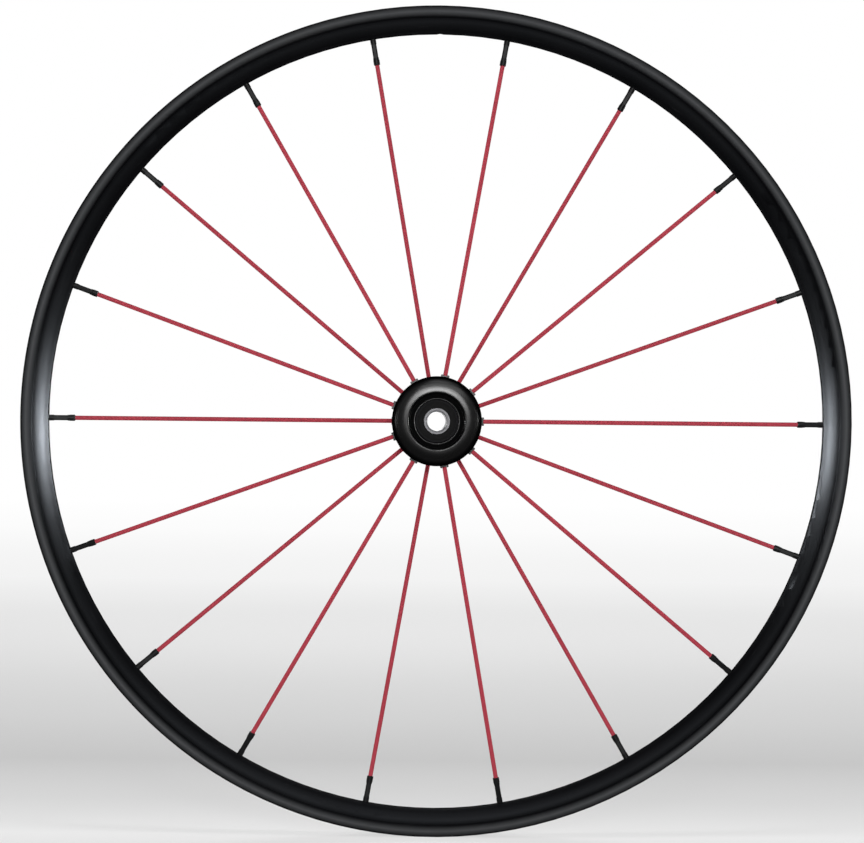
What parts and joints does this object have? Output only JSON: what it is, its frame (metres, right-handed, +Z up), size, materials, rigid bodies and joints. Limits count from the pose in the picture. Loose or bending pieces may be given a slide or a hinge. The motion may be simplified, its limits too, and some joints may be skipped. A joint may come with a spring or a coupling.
{
  "type": "wheelchair drive wheel",
  "caption": "Bare spoked wheelchair drive wheel with a tyre channel, sealed hub bearings and a through bore for a quick-release axle.",
  "frame": {"origin": "middle of the wheel on the axle's line", "axes": "+Y along the axle from the outboard face to the inboard face, +Z up through the valve hole, +X to the right seen from outboard"},
  "size_m": [0.552, 0.063, 0.552],
  "materials": {
    "rim_black": "satin black anodised",
    "hub_black": "gloss black anodised",
    "spoke_red": "satin crimson polyurethane jacket",
    "nipple_black": "satin black anodised",
    "bearing_steel": "ground bearing steel",
    "bearing_black": "black oxide on ground steel",
    "ball_steel": "polished balls",
    "cage_steel": "pressed steel",
    "seal_rubber": "matt black nitrile",
    "spacer_aluminium": "turned",
    "sleeve_aluminium": "mill finish",
    "rim_tape_plastic": "woven nylon strip",
    "spoke_fibre": "golden fibre strand",
    "spoke_end_steel": "turned steel"
  },
  "bodies": {
    "axle_line": {"centre_spacer": "spacer_aluminium", "outboard_bearing_inner_ring": "bearing_steel", "inboard_bearing_inner_ring": "bearing_steel"},
    "wheel": {"rim": "rim_black", "rim_tape": "rim_tape_plastic", "rim_joint_sleeve": "sleeve_aluminium", "hub_shell": "hub_black", "spoke_01": "spoke_red", "spoke_02": "spoke_red", "spoke_03": "spoke_red", "spoke_04": "spoke_red", "spoke_05": "spoke_red", "spoke_06": "spoke_red", "spoke_07": "spoke_red", "spoke_08": "spoke_red", "spoke_09": "spoke_red", "spoke_10": "spoke_red", "spoke_11": "spoke_red", "spoke_12": "spoke_red", "spoke_13": "spoke_red", "spoke_14": "spoke_red", "spoke_15": "spoke_red", "spoke_16": "spoke_red", "spoke_17": "spoke_red", "spoke_18": "spoke_red", "nipple_01": "nipple_black", "nipple_02": "nipple_black", "nipple_03": "nipple_black", "nipple_04": "nipple_black", "nipple_05": "nipple_black", "nipple_06": "nipple_black", "nipple_07": "nipple_black", "nipple_08": "nipple_black", "nipple_09": "nipple_black", "nipple_10": "nipple_black", "nipple_11": "nipple_black", "nipple_12": "nipple_black", "nipple_13": "nipple_black", "nipple_14": "nipple_black", "nipple_15": "nipple_black", "nipple_16": "nipple_black", "nipple_17": "nipple_black", "nipple_18": "nipple_black", "spoke_fibre_cores": "spoke_fibre", "spoke_threaded_studs": "spoke_end_steel", "outboard_spoke_ferrules": "spoke_end_steel", "inboard_spoke_ferrules": "spoke_end_steel", "outboard_bearing_outer_ring": "bearing_black", "inboard_bearing_outer_ring": "bearing_black", "outboard_bearing_outer_seal": "seal_rubber", "inboard_bearing_outer_seal": "seal_rubber", "outboard_bearing_inner_seal": "seal_rubber", "inboard_bearing_inner_seal": "seal_rubber"},
    "outboard_ball_set": {"outboard_bearing_balls": "ball_steel", "outboard_bearing_cage": "cage_steel"},
    "inboard_ball_set": {"inboard_bearing_balls": "ball_steel", "inboard_bearing_cage": "cage_steel"}
  },
  "joints": [
    {"name": "wheel_spin", "type": "hinge", "parent": "axle_line", "child": "wheel", "pos_m": [0, 0, 0], "axis": [0, 1, 0], "continuous": true},
    {"name": "outboard_ball_roll", "type": "hinge", "parent": "axle_line", "child": "outboard_ball_set", "pos_m": [0, -0.02461, 0], "axis": [0, 1, 0], "continuous": true},
    {"name": "inboard_ball_roll", "type": "hinge", "parent": "axle_line", "child": "inboard_ball_set", "pos_m": [0, 0.02461, 0], "axis": [0, 1, 0], "continuous": true}
  ],
  "couplings": [
    {"joint": "outboard_ball_roll", "follows": "wheel_spin", "ratio": 0.61532},
    {"joint": "inboard_ball_roll", "follows": "wheel_spin", "ratio": 0.61532}
  ]
}
